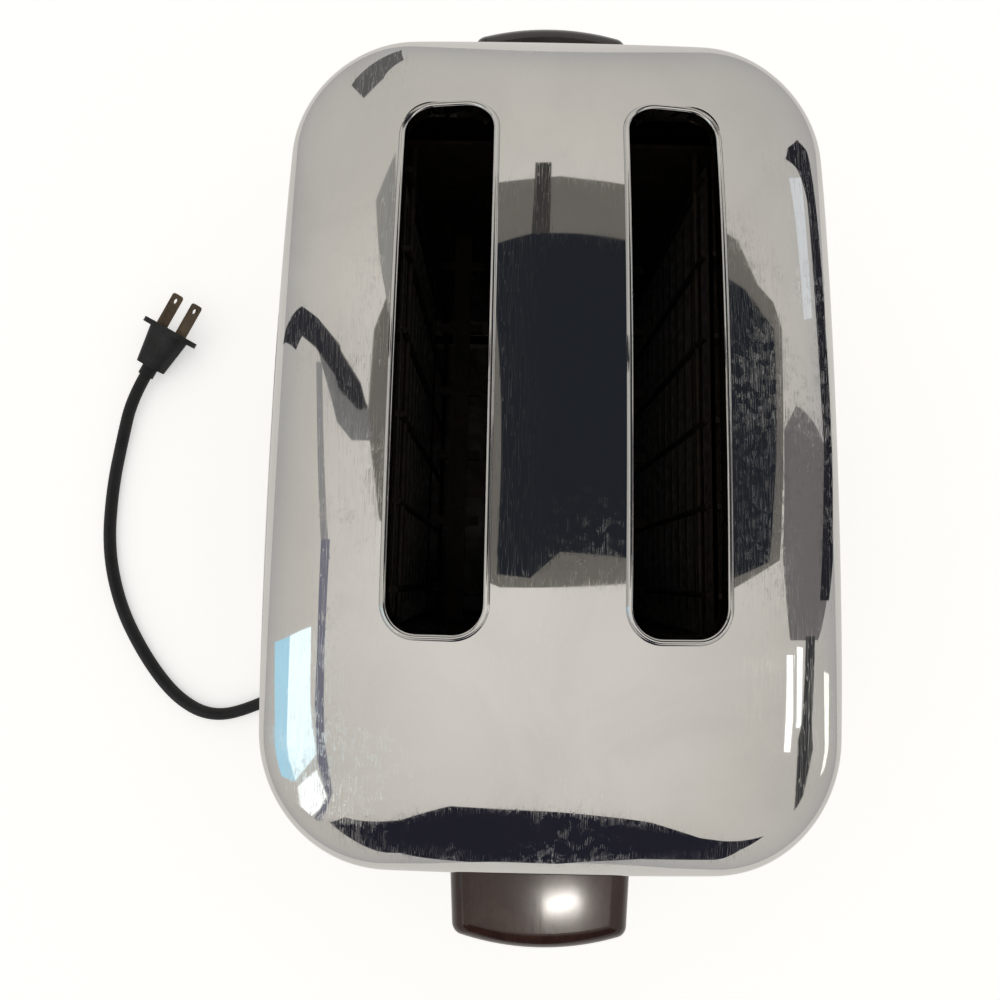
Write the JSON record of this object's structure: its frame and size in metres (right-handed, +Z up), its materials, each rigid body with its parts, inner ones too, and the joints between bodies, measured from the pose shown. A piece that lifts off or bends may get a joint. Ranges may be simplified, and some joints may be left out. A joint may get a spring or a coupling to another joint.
{
  "type": "pop-up toaster",
  "caption": "Chrome pop-up toaster with long bread slots, a push-down lever knob, browning knob, rear handle, crumb tray and short plugged lead.",
  "frame": {"origin": "on the table under the middle of the body, measured without the cord, plug and strain relief", "axes": "+Z up; +Y to the rear, where the fixed handle is; the lever knob is at -Y; X across the slots"},
  "size_m": [0.2923, 0.2908, 0.1844],
  "materials": {
    "chrome_shell": "polished chrome plate on steel",
    "base_bakelite": "black moulded phenolic",
    "foot_rubber": "black rubber",
    "zinc_steel": "zinc plated steel sheet",
    "mica": "mica board",
    "nichrome": "oxidised nichrome ribbon",
    "guard_wire": "heat-tinted steel wire",
    "nickel_strip": "nickel strip",
    "handle_bakelite": "near-black moulded phenolic",
    "rod_steel": "ground steel",
    "bumper_rubber": "brown rubber",
    "spring_steel": "spring steel wire",
    "ceramic": "steatite ceramic",
    "bimetal": "bimetal strip",
    "brass_part": "brass",
    "screw_steel": "plated steel screws",
    "wire_cloth": "glass fibre sleeving",
    "lever_bakelite": "dark brown moulded phenolic",
    "knob_bakelite": "dark brown moulded phenolic",
    "tray_sheet": "plated steel sheet",
    "reflector_sheet": "bright steel sheet",
    "cord_rubber": "black rubber",
    "plug_rubber": "black moulded rubber",
    "blade_brass": "tarnished brass"
  },
  "bodies": {
    "housing": {"outer_shell": "chrome_shell", "plinth": "base_bakelite", "feet": "foot_rubber", "chassis_plate": "zinc_steel", "front_frame_plate": "zinc_steel", "rear_frame_plate": "zinc_steel", "bus_insulator": "mica", "bus_bars": "nickel_strip", "rear_handle": "handle_bakelite", "guide_rod": "rod_steel", "rod_bracket": "zinc_steel", "top_bumper": "bumper_rubber", "lift_spring": "spring_steel", "latch_pin": "rod_steel", "browning_bearing": "zinc_steel", "thermostat_base": "ceramic", "bimetal_strip": "bimetal", "switch_base": "ceramic", "switch_leaves": "brass_part", "terminal_block": "ceramic", "terminal_screws": "screw_steel", "lead_wires": "wire_cloth", "hinge_pin": "rod_steel", "base_screws": "screw_steel", "base_nuts": "screw_steel", "frame_screws": "screw_steel", "frame_nuts": "screw_steel", "handle_screws": "screw_steel", "strain_relief": "cord_rubber", "cord": "cord_rubber", "plug_body": "plug_rubber", "plug_blades": "blade_brass", "side_reflector_left": "reflector_sheet", "side_reflector_right": "reflector_sheet", "heater_card_left_outer": "mica", "heater_ribbons_left_outer": "nichrome", "bread_guard_left_outer": "guard_wire", "heater_card_left_inner": "mica", "heater_ribbons_left_inner": "nichrome", "bread_guard_left_inner": "guard_wire", "heater_card_right_outer": "mica", "heater_ribbons_right_outer": "nichrome", "bread_guard_right_outer": "guard_wire", "heater_card_right_inner": "mica", "heater_ribbons_right_inner": "nichrome", "bread_guard_right_inner": "guard_wire"},
    "carriage": {"carriage_bracket": "zinc_steel", "carriage_bush": "brass_part", "lever_arm": "zinc_steel", "lever_knob": "lever_bakelite", "bread_rack_left": "zinc_steel", "bread_rack_right": "zinc_steel"},
    "latch": {"latch_hook": "zinc_steel"},
    "browning_control": {"browning_knob": "knob_bakelite", "browning_shaft": "rod_steel", "browning_cam": "brass_part"},
    "tray": {"crumb_tray": "tray_sheet"}
  },
  "joints": [
    {"name": "carriage_slide", "type": "slide", "parent": "housing", "child": "carriage", "axis": [0, 0, -1], "range_m": [0, 0.06], "stiffness_N_per_m": 70, "springref_m": -0.07, "deforming": ["lift_spring"]},
    {"name": "latch_turn", "type": "hinge", "parent": "housing", "child": "latch", "pos_m": [0.028, -0.0665, 0.033], "axis": [0, 1, 0], "range_deg": [-25, 0], "stiffness_Nm_per_rad": 0.02},
    {"name": "browning_turn", "type": "hinge", "parent": "housing", "child": "browning_control", "pos_m": [0, -0.117, 0.0365], "axis": [0, -1, 0], "range_deg": [-120, 120]},
    {"name": "tray_hinge", "type": "hinge", "parent": "housing", "child": "tray", "pos_m": [0, 0.086, 0.0032], "axis": [1, 0, 0], "range_deg": [0, 90]}
  ]
}
